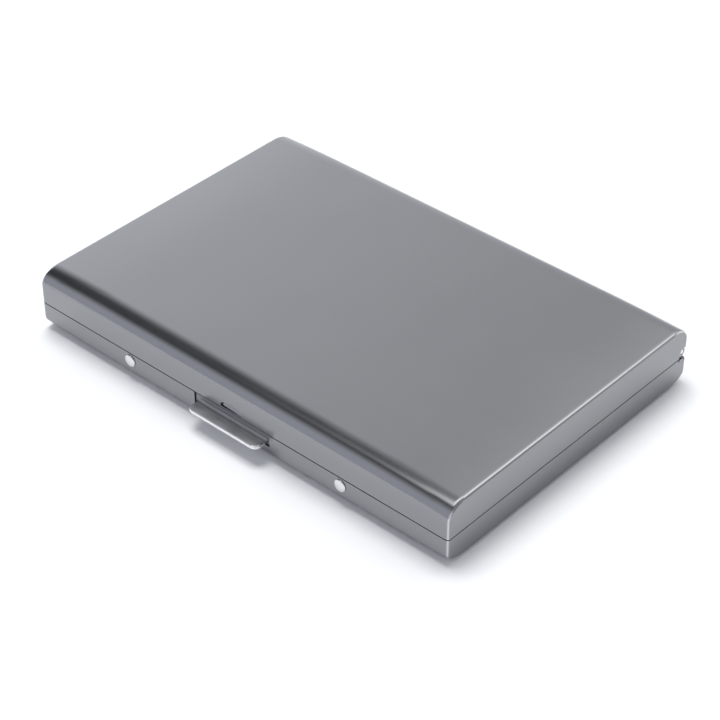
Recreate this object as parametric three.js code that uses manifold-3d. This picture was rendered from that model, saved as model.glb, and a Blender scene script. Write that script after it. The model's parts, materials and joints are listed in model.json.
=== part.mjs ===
// Slim steel business card case: two pressed shells on a long rear hinge, a spring latch with a thumb tab
// at the front, and a fan of card pockets inside that spreads as the lid opens.
// Millimetres. +X runs along the hinge, +Y points from the latch to the hinge, +Z is up.
// The origin is the centre of the base's underside. The case is closed.

import * as THREE from 'three';
import { mergeVertices } from 'three/addons/utils/BufferGeometryUtils.js';
import Module from 'manifold-3d';

const wasm = await Module();
wasm.setup();

// ---------- Driving dimensions ----------

const caseLength = 98; // between the two flat ends
const caseDepth = 66.4; // from the latch wall to the hinge wall
const baseHeight = 5.9; // underside to parting plane
const lidHeight = 7; // parting plane to top
const sheet = 0.5; // steel sheet of both shells
const endBend = 0.6; // outside bend radius at the two flat ends
const lidRoll = { run: 4.2, rise: 3 }; // elliptical roll of the lid's two long edges
const baseRoll = { run: 4.4, rise: 2.4 }; // and of the base's
const partingGap = 0.2; // between the two shells' rims
const contactGap = 0.05; // between fixed pieces that touch
const runningGap = 0.05; // radial play of a pin in its bore

const pinRadius = 0.55; // hinge pin
const knuckleWall = 0.35;
const knuckleCount = 9; // odd, so that both outer knuckles are on the base
const knuckleGap = 0.2; // between neighbouring knuckles
const hingeRise = 0.9; // hinge axis above the parting plane
const hingeLeaf = 0.4; // thickness of the two hinge leaves
const hingeEndInset = 0.3; // the barrel stops this far inside the flat ends
const lidBarrelGap = 0.2; // play round the barrel in the lid's flat ends
const baseBarrelGap = 0.9; // and in the base's, which clears the lid's rim as it swings down
const leafBarrelGap = 0.35; // barrel to the strips of the hinge leaves and to the lid's rear rim
const upperLeafHeight = 1.4;

const tabWidth = 17; // thumb tab of the latch
const tabShift = -0.1; // it sits off the middle of its notch
const tabReach = 2.7; // how far it stands out of the front wall
const tabThickness = 0.8;
const tabDrop = 1.7; // its top face below the parting plane
const tabCorner = 1.5;
const tabStop = 0.1; // tab to the notch's lower rim
const notchPlay = 0.6; // notch in the front wall, wider than a middled tab on each side
const faceSetBack = 0.25; // upright face of the lever in the notch, behind the wall's outside
const facePlay = 0.2; // between it and each side of the notch
const faceThickness = 0.5;
const faceDrop = 0.3; // its upper edge below the base's rim

const stripThickness = 0.4; // spring steel strip behind the front wall
const stripReach = 28.5; // half its length
const bridgeGap = 0.2; // tab's underside to the part of the strip that runs on below it
const stripSetDown = 0.25; // its upper edge below the base's rim

const latchPinRadius = 0.45;
const latchPinEnd = 0.3; // stands out of each ear
const leverBarrelRadius = 0.9;
const leverBarrelLength = 9;
const leverWeb = 0.5;
const leverWebGap = 0.15; // strip to lever
const leverWebRise = 0.5; // web above the parting plane
const earThickness = 0.4;
const springWire = 0.26; // wire diameter of the latch's torsion spring
const springTurns = 3;
const springStart = 0.75; // of a turn past the top, so that both ends are in front of the pin
const springLeg = 0.2; // of a turn's pitch, from the coil's end to the leg's end
const springPlay = 0.12; // coil round the pin
const springTurnGap = 0.06;
const springEndGap = 0.4; // coil to the lever's barrel
const coilSteps = 12; // points in one turn
const wireSteps = 6; // steps of the swept wire per point of a turn

const catchHalfWidth = 2.5; // lanced catch in the lid's front wall
const catchFoot = 0.3; // band of wall left under it
const catchHeight = 1.3;
const catchShoulder = 0.45; // straight sides of the catch, below its arch
const catchSlit = 0.1;
const catchTilt = 28; // degrees, pressed inwards
const hookThickness = 0.3;
const hookWidth = 3.2;
const hookOverCatch = 0.1; // hook nose above the catch
const hookToWall = 0.2;

const rivetSpacing = 51; // between the two front rivets
const rivetDrop = 1.7; // their middle below the parting plane
const rivetHeadRadius = 1.25;
const rivetHeadProud = 0.45;
const rivetHeadRim = 0.2; // straight rim of the head, below its dome
const rivetHeadFlat = 0.9; // radius of the head's flat top
const rivetShankRadius = 0.75;
const rivetTailRadius = 1.1;
const rivetTailLength = 0.4;

const pocketCount = 6;
const leafThickness = 0.5;
const leafEndRoom = 2.5; // flat ends of the case to the leaves
const leafWallRoom = 4.1; // front and rear walls to the leaves
const leafCorner = 3;
const thumbRadius = 8; // thumb cut-out in the dividers' front edge
const gussetDepth = 7;
const gussetFilm = 0.15;
const gussetEdge = 0.3; // leaf's edge to the gusset's edge
const gussetFrontRoom = 1.2; // leaf's rounded corner to the gusset's front
const spineFilm = 0.2;
const spineBulge = 0.8;

const ARC = 10; // segments in a quarter roll
const DOME = 4; // segments of a rivet head's rounded edge
const ROUND = 20; // sides of a small round piece
const CUT = 1; // how far a cutting solid reaches past what it cuts

// ---------- Worked-out places ----------

const caseHeight = baseHeight + lidHeight;
const halfLength = caseLength / 2;
const halfDepth = caseDepth / 2;
const baseRim = baseHeight - partingGap / 2;
const lidRim = baseHeight + partingGap / 2;
const frontInner = -halfDepth + sheet;
const rearInner = halfDepth - sheet;

const knuckleRadius = pinRadius + runningGap + knuckleWall;
const hingeY = halfDepth - knuckleRadius - contactGap;
const hingeZ = baseHeight + hingeRise;
const hingeReach = halfLength - hingeEndInset;

const stripBack = frontInner + contactGap + stripThickness;
const stripFoot = baseRoll.rise;
const stripTop = baseRim - stripSetDown;
const rivetHeight = baseHeight - rivetDrop;
const notchHalfWidth = tabWidth / 2 + notchPlay;
const tabTop = baseHeight - tabDrop;
const tabBottom = tabTop - tabThickness;
const leverFront = stripBack + leverWebGap;
const latchY = leverFront + leverBarrelRadius;
const latchZ = tabBottom + leverBarrelRadius;
const barrelHalf = leverBarrelLength / 2;
const latchPinReach = notchHalfWidth + earThickness + latchPinEnd;

const leafHalfLength = halfLength - leafEndRoom;
const leafHalfDepth = halfDepth - leafWallRoom;
const lowestLeaf = sheet + contactGap + leafThickness / 2;
const leafPitch = (caseHeight - 2 * lowestLeaf) / pocketCount;

// ---------- Materials ----------

const metal = (color, roughness) => new THREE.MeshStandardMaterial({ color, roughness, metalness: 1 });
const soft = (color, roughness) => new THREE.MeshStandardMaterial({ color, roughness, metalness: 0 });
const gunmetal = metal(0x85878b, 0.38);
const polishedSteel = metal(0xd9dadc, 0.18);
const springSteel = metal(0x6f7174, 0.35);
const pocketBoard = soft(0x26272a, 0.62);
const pocketFilm = soft(0x1d1e20, 0.5);

// ---------- Solids ----------

// A closed geometry as a manifold-3d solid.
function solidOf(geometry) {
  const bare = geometry.clone();
  bare.deleteAttribute('normal');
  bare.deleteAttribute('uv');
  const merged = mergeVertices(bare, 1e-4);
  return new wasm.Manifold(new wasm.Mesh({
    numProp: 3,
    vertProperties: new Float32Array(merged.attributes.position.array),
    triVerts: new Uint32Array(merged.index.array),
  }));
}

// A manifold-3d solid as a geometry.
function geometryOf(solid) {
  const { vertProperties, triVerts } = solid.getMesh();
  const geometry = new THREE.BufferGeometry()
    .setAttribute('position', new THREE.BufferAttribute(new Float32Array(vertProperties), 3))
    .setIndex(new THREE.BufferAttribute(new Uint32Array(triVerts), 1))
    .toNonIndexed();
  geometry.computeVertexNormals();
  return geometry;
}

const alongXBasis = new THREE.Matrix4().makeBasis(
  new THREE.Vector3(0, 1, 0), new THREE.Vector3(0, 0, 1), new THREE.Vector3(1, 0, 0));
const alongYBasis = new THREE.Matrix4().makeBasis(
  new THREE.Vector3(1, 0, 0), new THREE.Vector3(0, 0, 1), new THREE.Vector3(0, -1, 0));

// A (Y, Z) outline run from x0 to x1. A bend rounds the two ends off.
function alongX(outline, x0, x1, bend = 0) {
  const geometry = new THREE.ExtrudeGeometry(outline, {
    depth: x1 - x0 - 2 * bend,
    curveSegments: ARC,
    bevelEnabled: bend > 0,
    bevelThickness: bend,
    bevelSize: bend,
    bevelOffset: -bend,
    bevelSegments: 4,
  });
  return geometry.translate(0, 0, x0 + bend).applyMatrix4(alongXBasis);
}

// An (X, Z) outline run from y0 to y1.
function alongY(outline, y0, y1) {
  const geometry = new THREE.ExtrudeGeometry(outline, {
    depth: y1 - y0,
    curveSegments: ARC,
    bevelEnabled: false,
  });
  return geometry.applyMatrix4(alongYBasis).translate(0, y1, 0);
}

// An (X, Y) outline run from z0 to z1. A soft edge rounds its rims off.
function alongZ(outline, z0, z1, softEdge = 0) {
  const geometry = new THREE.ExtrudeGeometry(outline, {
    depth: z1 - z0 - 2 * softEdge,
    curveSegments: ARC,
    bevelEnabled: softEdge > 0,
    bevelThickness: softEdge,
    bevelSize: softEdge,
    bevelOffset: -softEdge,
    bevelSegments: 3,
  });
  return geometry.translate(0, 0, z0 + softEdge);
}

function block(x0, x1, y0, y1, z0, z1) {
  return solidOf(new THREE.BoxGeometry(x1 - x0, y1 - y0, z1 - z0)
    .translate((x0 + x1) / 2, (y0 + y1) / 2, (z0 + z1) / 2));
}

function rodAlongX(radius, x0, x1, y, z) {
  return new THREE.CylinderGeometry(radius, radius, x1 - x0, ROUND)
    .rotateZ(Math.PI / 2).translate((x0 + x1) / 2, y, z);
}

function rodAlongY(radius, x, z, y0, y1) {
  return new THREE.CylinderGeometry(radius, radius, y1 - y0, ROUND).translate(x, (y0 + y1) / 2, z);
}

function part(name, geometry, material) {
  const mesh = new THREE.Mesh(geometry, material);
  mesh.name = name;
  return mesh;
}

// ---------- Shells ----------

// Cross-section of the closed case, set in by a wall.
function caseOutline(inset) {
  const edgeY = halfDepth - inset;
  const top = caseHeight - inset;
  const lid = { run: lidRoll.run - inset, rise: lidRoll.rise - inset };
  const base = { run: baseRoll.run - inset, rise: baseRoll.rise - inset };
  const outline = new THREE.Shape();
  outline.moveTo(-edgeY + base.run, inset);
  outline.lineTo(edgeY - base.run, inset);
  outline.absellipse(edgeY - base.run, inset + base.rise, base.run, base.rise, -Math.PI / 2, 0, false);
  outline.lineTo(edgeY, top - lid.rise);
  outline.absellipse(edgeY - lid.run, top - lid.rise, lid.run, lid.rise, 0, Math.PI / 2, false);
  outline.lineTo(-edgeY + lid.run, top);
  outline.absellipse(-edgeY + lid.run, top - lid.rise, lid.run, lid.rise, Math.PI / 2, Math.PI, false);
  outline.lineTo(-edgeY, inset + base.rise);
  outline.absellipse(-edgeY + base.run, inset + base.rise, base.run, base.rise, Math.PI, 1.5 * Math.PI, false);
  return outline;
}

// The whole hollow case, before it is parted.
function hollowCase() {
  const outside = solidOf(alongX(caseOutline(0), -halfLength, halfLength, endBend));
  const inside = solidOf(alongX(caseOutline(sheet),
    -halfLength + sheet, halfLength - sheet, Math.max(endBend - sheet, 0)));
  return outside.subtract(inside);
}

// Everything between two heights, wider than the case.
function slab(z0, z1) {
  return block(-caseLength, caseLength, -caseDepth, caseDepth, z0, z1);
}

function barrelRoom(gap) {
  return solidOf(rodAlongX(knuckleRadius + gap, -caseLength, caseLength, hingeY, hingeZ));
}

function lowerShell(hollow) {
  const notch = block(-notchHalfWidth, notchHalfWidth,
    -halfDepth - CUT, frontInner + CUT, tabBottom - tabStop, caseHeight);
  let shell = hollow.intersect(slab(-CUT, baseRim)).subtract(barrelRoom(baseBarrelGap)).subtract(notch);
  for (const side of [-1, 1]) {
    const hole = rodAlongY(rivetShankRadius + runningGap,
      side * rivetSpacing / 2, rivetHeight, -halfDepth - CUT, frontInner + CUT);
    shell = shell.subtract(solidOf(hole));
  }
  return shell;
}

// Arched outline of the catch, smaller all round by the slit.
function catchOutline(slit) {
  const foot = lidRim + catchFoot;
  const half = catchHalfWidth - slit;
  const arch = catchHeight - catchShoulder - slit;
  const outline = new THREE.Shape();
  outline.moveTo(-half, foot);
  outline.lineTo(half, foot);
  outline.lineTo(half, foot + catchShoulder);
  outline.absellipse(0, foot + catchShoulder, half, arch, 0, Math.PI, false);
  return outline;
}

function upperShell(hollow) {
  const foot = lidRim + catchFoot;
  const window = solidOf(alongY(catchOutline(0), -halfDepth - CUT, frontInner + CUT));
  const flap = solidOf(alongY(catchOutline(catchSlit), -sheet / 2, sheet / 2)
    .translate(0, 0, -foot)
    .rotateX(-THREE.MathUtils.degToRad(catchTilt))
    .translate(0, -halfDepth + sheet / 2, foot));
  const channelFront = hingeY - knuckleRadius - lidBarrelGap;
  const channelFoot = block(-caseLength, caseLength, channelFront, caseDepth, 0, hingeZ);
  const rearWallCut = block(-halfLength + endBend, halfLength - endBend,
    channelFront, caseDepth, 0, hingeZ + knuckleRadius + leafBarrelGap);
  return hollow.intersect(slab(lidRim, caseHeight + CUT))
    .subtract(barrelRoom(lidBarrelGap))
    .subtract(channelFoot)
    .subtract(rearWallCut)
    .subtract(window)
    .add(flap);
}

// ---------- Hinge ----------

// One leaf: a flat strip against the rear wall, and every second knuckle with the web that carries it.
function hingeLeafPiece(firstKnuckle, stripLow, stripHigh) {
  const y0 = rearInner - contactGap - hingeLeaf;
  const y1 = rearInner - contactGap;
  const stripEnd = halfLength - sheet - contactGap - endBend;
  const pitch = 2 * hingeReach / knuckleCount;
  const stripMiddle = (stripLow + stripHigh) / 2;
  let leaf = block(-stripEnd, stripEnd, y0, y1, stripLow, stripHigh);
  for (let k = firstKnuckle; k < knuckleCount; k += 2) {
    const x0 = -hingeReach + k * pitch + (k > 0 ? knuckleGap / 2 : 0);
    const x1 = -hingeReach + (k + 1) * pitch - (k < knuckleCount - 1 ? knuckleGap / 2 : 0);
    const knuckle = rodAlongX(knuckleRadius, x0, x1, hingeY, hingeZ);
    const web = block(Math.max(x0, -stripEnd), Math.min(x1, stripEnd), y0, y1,
      Math.min(hingeZ, stripMiddle), Math.max(hingeZ, stripMiddle));
    leaf = leaf.add(solidOf(knuckle)).add(web);
  }
  return leaf.subtract(solidOf(
    rodAlongX(pinRadius + runningGap, -caseLength, caseLength, hingeY, hingeZ)));
}

function lowerHingeLeaf() {
  return hingeLeafPiece(0, baseRoll.rise + contactGap, hingeZ - knuckleRadius - leafBarrelGap);
}

function upperHingeLeaf() {
  const low = hingeZ + knuckleRadius + leafBarrelGap;
  const high = Math.min(low + upperLeafHeight, caseHeight - lidRoll.rise - contactGap);
  return hingeLeafPiece(1, low, high);
}

// ---------- Latch ----------

// Spring steel strip, riveted at its two ends, cut away round the tab, with two ears that hold the latch pin.
function latchStrip() {
  const outline = new THREE.Shape();
  outline.moveTo(-stripReach, stripFoot);
  outline.lineTo(stripReach, stripFoot);
  outline.lineTo(stripReach, stripTop);
  outline.lineTo(notchHalfWidth, stripTop);
  outline.lineTo(notchHalfWidth, tabBottom - bridgeGap);
  outline.lineTo(-notchHalfWidth, tabBottom - bridgeGap);
  outline.lineTo(-notchHalfWidth, stripTop);
  outline.lineTo(-stripReach, stripTop);
  for (const side of [-1, 1]) {
    const hole = new THREE.Path();
    hole.absarc(side * rivetSpacing / 2, rivetHeight, rivetShankRadius + runningGap, 0, 2 * Math.PI);
    outline.holes.push(hole);
  }
  let strip = solidOf(alongY(outline, stripBack - stripThickness, stripBack));
  for (const side of [-1, 1]) {
    const inner = side * notchHalfWidth;
    const outer = side * (notchHalfWidth + earThickness);
    strip = strip.add(block(Math.min(inner, outer), Math.max(inner, outer),
      stripBack - stripThickness / 2, latchY + leverBarrelRadius, latchZ - leverBarrelRadius, stripTop));
  }
  return strip.subtract(solidOf(
    rodAlongX(latchPinRadius + runningGap, -caseLength, caseLength, latchY, latchZ)));
}

// Thumb tab, its upright face in the notch, the web behind and the barrel round the latch pin.
function latchLever() {
  const outer = -halfDepth - tabReach;
  const left = tabShift - tabWidth / 2;
  const right = tabShift + tabWidth / 2;
  const faceFront = -halfDepth + faceSetBack;
  const outline = new THREE.Shape();
  outline.moveTo(-barrelHalf, leverFront + leverWeb);
  outline.lineTo(-barrelHalf, leverFront);
  outline.lineTo(left, leverFront);
  outline.lineTo(left, outer + tabCorner);
  outline.absarc(left + tabCorner, outer + tabCorner, tabCorner, Math.PI, 1.5 * Math.PI, false);
  outline.lineTo(right - tabCorner, outer);
  outline.absarc(right - tabCorner, outer + tabCorner, tabCorner, 1.5 * Math.PI, 2 * Math.PI, false);
  outline.lineTo(right, leverFront);
  outline.lineTo(barrelHalf, leverFront);
  outline.lineTo(barrelHalf, leverFront + leverWeb);
  const faceHalf = notchHalfWidth - facePlay;
  return solidOf(alongZ(outline, tabBottom, tabTop, tabThickness / 4))
    .add(block(-faceHalf, faceHalf, faceFront, faceFront + faceThickness, tabBottom, baseRim - faceDrop))
    .add(block(-barrelHalf, barrelHalf, leverFront, leverFront + leverWeb,
      tabTop - tabThickness / 2, baseHeight + leverWebRise))
    .add(solidOf(rodAlongX(leverBarrelRadius, -barrelHalf, barrelHalf, latchY, latchZ)))
    .subtract(solidOf(rodAlongX(latchPinRadius + runningGap, -caseLength, caseLength, latchY, latchZ)));
}

// Spring finger on the back of the lever: it reaches up inside the lid, and its nose holds the catch.
function latchHook() {
  const tilt = THREE.MathUtils.degToRad(catchTilt);
  const catchRise = (catchHeight - catchSlit) * Math.cos(tilt) + sheet / 2 * Math.sin(tilt);
  const catchTop = lidRim + catchFoot + catchRise;
  const foot = latchZ + leverBarrelRadius + contactGap;
  const noseFoot = catchTop + hookOverCatch;
  const noseTop = noseFoot + hookThickness;
  const nose = frontInner + hookToWall;
  const front = leverFront + leverWeb + contactGap;
  const back = front + hookThickness;
  const outline = new THREE.Shape();
  outline.moveTo(front, foot);
  outline.lineTo(back, foot);
  outline.lineTo(back, noseTop);
  outline.lineTo(nose + hookThickness / 2, noseTop);
  outline.lineTo(nose, noseTop - hookThickness / 2);
  outline.lineTo(nose, noseFoot);
  outline.lineTo(front, noseFoot);
  return alongX(outline, -hookWidth / 2, hookWidth / 2);
}

// Torsion spring beside the lever's barrel: one leg bears on the strip, the other on the tab's root.
function latchSpring() {
  const coilRadius = latchPinRadius + springPlay + springWire / 2;
  const pitch = springWire + springTurnGap;
  const x0 = barrelHalf + springEndGap;
  const bridgeMiddle = (stripFoot + tabBottom - bridgeGap) / 2;
  const points = [new THREE.Vector3(x0, stripBack + springWire, bridgeMiddle)];
  const steps = coilSteps * springTurns;
  for (let i = 0; i <= steps; i++) {
    const turns = i / coilSteps;
    const a = 2 * Math.PI * (springStart + turns);
    points.push(new THREE.Vector3(
      x0 + pitch * turns, latchY + coilRadius * Math.sin(a), latchZ + coilRadius * Math.cos(a)));
  }
  points.push(new THREE.Vector3(
    x0 + pitch * (springTurns + springLeg), leverFront - springWire / 2, tabTop + springWire));
  const wire = new THREE.Shape();
  wire.absarc(0, 0, springWire / 2, 0, 2 * Math.PI);
  return new THREE.ExtrudeGeometry(wire, {
    steps: wireSteps * coilSteps,
    curveSegments: 4,
    extrudePath: new THREE.CatmullRomCurve3(points),
  });
}

// Domed head outside, shank through wall and strip, upset tail inside. Local +Y points out of the wall.
function rivet() {
  const grip = sheet + contactGap + stripThickness;
  const tail = -(grip + contactGap + rivetTailLength);
  const dome = [];
  for (let i = 0; i <= DOME; i++) {
    const a = i / DOME * Math.PI / 2;
    dome.push(new THREE.Vector2(
      rivetHeadFlat + (rivetHeadRadius - rivetHeadFlat) * Math.cos(a),
      rivetHeadRim + (rivetHeadProud - rivetHeadRim) * Math.sin(a)));
  }
  return new THREE.LatheGeometry([
    new THREE.Vector2(0, tail),
    new THREE.Vector2(rivetTailRadius, tail),
    new THREE.Vector2(rivetTailRadius, tail + rivetTailLength),
    new THREE.Vector2(rivetShankRadius, tail + rivetTailLength),
    new THREE.Vector2(rivetShankRadius, contactGap),
    new THREE.Vector2(rivetHeadRadius, contactGap),
    ...dome,
    new THREE.Vector2(0, rivetHeadProud),
  ], ROUND);
}

// ---------- Card pockets ----------

const leafZ = (k) => lowestLeaf + k * leafPitch;

// A stiff leaf, flat on the XY plane. Dividers have a thumb cut-out in the front edge.
function leaf(thumb) {
  const x = leafHalfLength;
  const y = leafHalfDepth;
  const outline = new THREE.Shape();
  outline.moveTo(-x, y);
  outline.lineTo(-x, -y + leafCorner);
  outline.absarc(-x + leafCorner, -y + leafCorner, leafCorner, Math.PI, 1.5 * Math.PI, false);
  if (thumb) {
    outline.lineTo(-thumbRadius, -y);
    outline.absarc(0, -y, thumbRadius, Math.PI, 0, true);
  }
  outline.lineTo(x - leafCorner, -y);
  outline.absarc(x - leafCorner, -y + leafCorner, leafCorner, 1.5 * Math.PI, 2 * Math.PI, false);
  outline.lineTo(x, y);
  return alongZ(outline, -leafThickness / 2, leafThickness / 2);
}

// Film folded inwards between two leaves at one end, seen with the lower leaf at z = 0.
function gusset() {
  const open = leafHalfLength - gussetEdge;
  const fold = open - gussetDepth;
  const low = leafThickness / 2 + contactGap;
  const high = leafPitch - low;
  const middle = leafPitch / 2;
  const outline = new THREE.Shape();
  outline.moveTo(open, low);
  outline.lineTo(open, low + gussetFilm);
  outline.lineTo(fold + 2 * gussetFilm, middle);
  outline.lineTo(open, high - gussetFilm);
  outline.lineTo(open, high);
  outline.lineTo(fold, middle + gussetFilm / 2);
  outline.lineTo(fold, middle - gussetFilm / 2);
  return alongY(outline, -leafHalfDepth + leafCorner + gussetFrontRoom, leafHalfDepth - gussetEdge);
}

// Film round the back of one pocket, seen with the lower leaf at z = 0.
function spineFold() {
  const root = leafHalfDepth + contactGap;
  const low = contactGap / 2;
  const high = leafPitch - contactGap / 2;
  const middle = leafPitch / 2;
  const shoulder = spineBulge / 2;
  const outline = new THREE.Shape();
  outline.moveTo(root, low);
  outline.lineTo(root + shoulder, low);
  outline.lineTo(root + spineBulge, middle);
  outline.lineTo(root + shoulder, high);
  outline.lineTo(root, high);
  outline.lineTo(root, high - spineFilm);
  outline.lineTo(root + shoulder - spineFilm / 2, high - spineFilm);
  outline.lineTo(root + spineBulge - spineFilm, middle);
  outline.lineTo(root + shoulder - spineFilm / 2, low + spineFilm);
  outline.lineTo(root, low + spineFilm);
  return alongX(outline, -leafHalfLength + gussetEdge, leafHalfLength - gussetEdge);
}

// ---------- Assembly ----------

const cardCase = new THREE.Group();
const hollow = hollowCase();

const base = new THREE.Group();
base.add(
  part('lower_shell', geometryOf(lowerShell(hollow)), gunmetal),
  part('lower_hinge_leaf', geometryOf(lowerHingeLeaf()), springSteel),
  part('hinge_pin', rodAlongX(pinRadius, -hingeReach, hingeReach, hingeY, hingeZ), polishedSteel),
  part('latch_strip', geometryOf(latchStrip()), springSteel),
  part('latch_pin', rodAlongX(latchPinRadius, -latchPinReach, latchPinReach, latchY, latchZ), polishedSteel),
  part('latch_spring', latchSpring(), springSteel),
);
for (const [side, name] of [[-1, 'rivet_left'], [1, 'rivet_right']]) {
  const piece = part(name, rivet(), polishedSteel);
  piece.rotation.x = Math.PI;
  piece.position.set(side * rivetSpacing / 2, -halfDepth, rivetHeight);
  base.add(piece);
}

const lid = new THREE.Group();
lid.add(
  part('upper_shell', geometryOf(upperShell(hollow)), gunmetal),
  part('upper_hinge_leaf', geometryOf(upperHingeLeaf()), springSteel),
);

const latch = new THREE.Group();
latch.add(
  part('latch_lever', geometryOf(latchLever()), gunmetal),
  part('latch_hook', latchHook(), springSteel),
);

const pockets = new THREE.Group();
for (let k = 0; k <= pocketCount; k++) {
  const outermost = k === 0 || k === pocketCount;
  const name = k === 0 ? 'base_board' : k === pocketCount ? 'lid_board' : `divider_${k}`;
  const board = part(name, leaf(!outermost), pocketBoard);
  board.position.z = leafZ(k);
  pockets.add(board);
}
for (let k = 1; k <= pocketCount; k++) {
  const right = part(`gusset_right_${k}`, gusset(), pocketFilm);
  const left = part(`gusset_left_${k}`, gusset(), pocketFilm);
  const spine = part(`spine_fold_${k}`, spineFold(), pocketFilm);
  left.scale.x = -1;
  for (const film of [right, left, spine]) {
    film.position.z = leafZ(k - 1);
    pockets.add(film);
  }
}

cardCase.add(base, lid, latch, pockets);

export default cardCase;
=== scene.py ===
import json
from math import cos, pi, radians, sin, sqrt, tau

import bmesh
import bpy
from mathutils import Matrix, Vector


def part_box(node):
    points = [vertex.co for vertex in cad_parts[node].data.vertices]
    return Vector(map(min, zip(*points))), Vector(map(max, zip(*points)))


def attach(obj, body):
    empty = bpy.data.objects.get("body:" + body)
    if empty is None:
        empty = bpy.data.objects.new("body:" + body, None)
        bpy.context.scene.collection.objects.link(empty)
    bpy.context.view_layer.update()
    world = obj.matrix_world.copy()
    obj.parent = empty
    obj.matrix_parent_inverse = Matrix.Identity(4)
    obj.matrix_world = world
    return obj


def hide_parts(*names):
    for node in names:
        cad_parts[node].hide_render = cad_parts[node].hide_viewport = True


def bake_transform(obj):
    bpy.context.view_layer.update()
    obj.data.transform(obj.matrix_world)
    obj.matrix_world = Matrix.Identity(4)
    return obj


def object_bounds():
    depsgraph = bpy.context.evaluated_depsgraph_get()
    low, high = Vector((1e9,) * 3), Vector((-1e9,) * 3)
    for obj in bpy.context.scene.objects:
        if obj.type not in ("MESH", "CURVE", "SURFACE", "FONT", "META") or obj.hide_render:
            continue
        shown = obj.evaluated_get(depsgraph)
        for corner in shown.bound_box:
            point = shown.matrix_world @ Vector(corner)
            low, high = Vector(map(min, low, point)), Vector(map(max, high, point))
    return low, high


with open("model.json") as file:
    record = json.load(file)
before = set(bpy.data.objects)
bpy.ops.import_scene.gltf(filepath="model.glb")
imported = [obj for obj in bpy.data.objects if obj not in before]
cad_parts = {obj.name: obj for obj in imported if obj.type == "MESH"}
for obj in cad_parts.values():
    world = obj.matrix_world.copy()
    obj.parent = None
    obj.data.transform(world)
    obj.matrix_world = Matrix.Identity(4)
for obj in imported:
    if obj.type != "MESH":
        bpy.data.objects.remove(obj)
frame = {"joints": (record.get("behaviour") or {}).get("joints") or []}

cad_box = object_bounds()

# ---------- Camera ----------
# A long lens looks down on the front right corner of the closed case, from about four case lengths away.

CASE_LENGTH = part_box("upper_shell")[1].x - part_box("upper_shell")[0].x
azimuth, elevation = radians(41.875), radians(37.11)
toward_camera = Matrix.Rotation(azimuth, 3, "Z") @ Matrix.Rotation(-elevation, 3, "X") @ Vector((0, -1, 0))
camera = bpy.data.objects.new("camera", bpy.data.cameras.new("camera"))
camera.data.lens = 108.27
camera.data.sensor_width = 36
camera.data.shift_x = 0.0012
camera.data.shift_y = -0.0393
camera.data.clip_start = 0.01
camera.location = Vector((0, 0, 0.05 * CASE_LENGTH)) + toward_camera * 4.0336 * CASE_LENGTH
camera.rotation_euler = toward_camera.to_track_quat("Z", "Y").to_euler()
bpy.context.scene.collection.objects.link(camera)
bpy.context.scene.camera = camera

# ---------- Studio ----------
# A white table top under a bright even room, lit by one large soft light to the left. A dark screen hangs
# overhead and a bright window shows past its right end; the satin steel mirrors both as soft shades.


class Field:
    """What a socket gives at each point. Python's operators add the Math nodes that work with it."""

    def __init__(self, finish, socket):
        self.finish, self.socket = finish, socket

    def math(self, operation, *values):
        return self.finish.add("ShaderNodeMath", {"operation": operation}, dict(enumerate(values)))

    def __add__(self, other):
        return self.math("ADD", self, other)

    def __sub__(self, other):
        return self.math("SUBTRACT", self, other)

    def __rsub__(self, other):
        return self.math("SUBTRACT", other, self)

    def __mul__(self, other):
        return self.math("MULTIPLY", self, other)

    __radd__, __rmul__ = __add__, __mul__

class Finish:
    """The node tree of a material or of the room, built up from the middle outwards."""

    def __init__(self, owner):
        owner.use_nodes = True
        self.owner, self.tree = owner, owner.node_tree

    def add(self, kind, settings=(), values=(), output=0):
        node = self.tree.nodes.new(kind)
        for name, setting in dict(settings).items():
            setattr(node, name, setting)
        self.feed(node, values)
        return Field(self, node.outputs[output])

    def feed(self, node, values):
        for name, value in dict(values).items():
            if isinstance(value, Field):
                self.tree.links.new(value.socket, node.inputs[name])
            else:
                node.inputs[name].default_value = value

    def step(self, value, low, high):
        """0 below low, 1 above high and smooth between them."""
        return self.add("ShaderNodeMapRange", {"interpolation_type": "SMOOTHSTEP"},
                        {"Value": value, "From Min": low, "From Max": high})

    def mix(self, share, first, second):
        """Two colours, mixed."""
        return self.add("ShaderNodeMix", {"data_type": "RGBA"}, {0: share, 6: first, 7: second}, output=2)


DEGREES = 180 / pi
ROOM_WHITE = (1.30, 1.32, 1.36, 1)
ROOM_FRONT = (0.80, 0.83, 0.92, 1)
ROOM_RIGHT = (0.77, 0.78, 0.81, 1)
SCREEN_GREY = (0.09, 0.095, 0.105, 1)
SIDE_GREY = (0.30, 0.31, 0.34, 1)
END_WHITE = (1.22, 1.23, 1.25, 1)
WINDOW = (2.6, 2.62, 2.65, 1)

room = bpy.data.worlds.new("studio")
bpy.context.scene.world = room
studio = Finish(room)
direction = studio.add("ShaderNodeTexCoord", output="Generated")
outlook = studio.add("ShaderNodeSeparateXYZ", values={0: direction})
across, ahead, up = (Field(studio, outlook.socket.node.outputs[axis]) for axis in "XYZ")
overhead = up.math("ARCTAN2", up, ahead) * DEGREES
front_half = studio.step(overhead, 104, 142)
screen = studio.step(overhead, 40, 84) * (1 - front_half)
side_screen = studio.step(overhead, 20, 45) * (1 - front_half) * studio.step(across, 0.08, 0.26)
past_end = across + (overhead - 49) * 0.006
window = studio.step(past_end, -0.208, -0.150) * (1 - studio.step(across, 0.02, 0.16))
window = window * studio.step(overhead, 36, 50) * (1 - studio.step(overhead, 92, 106))
shade = studio.mix(studio.step(across, -0.68, -0.42), ROOM_WHITE, ROOM_RIGHT)
shade = studio.mix(studio.step(past_end, -0.46, -0.36), shade, END_WHITE)
shade = studio.mix(front_half, shade, ROOM_FRONT)
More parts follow.
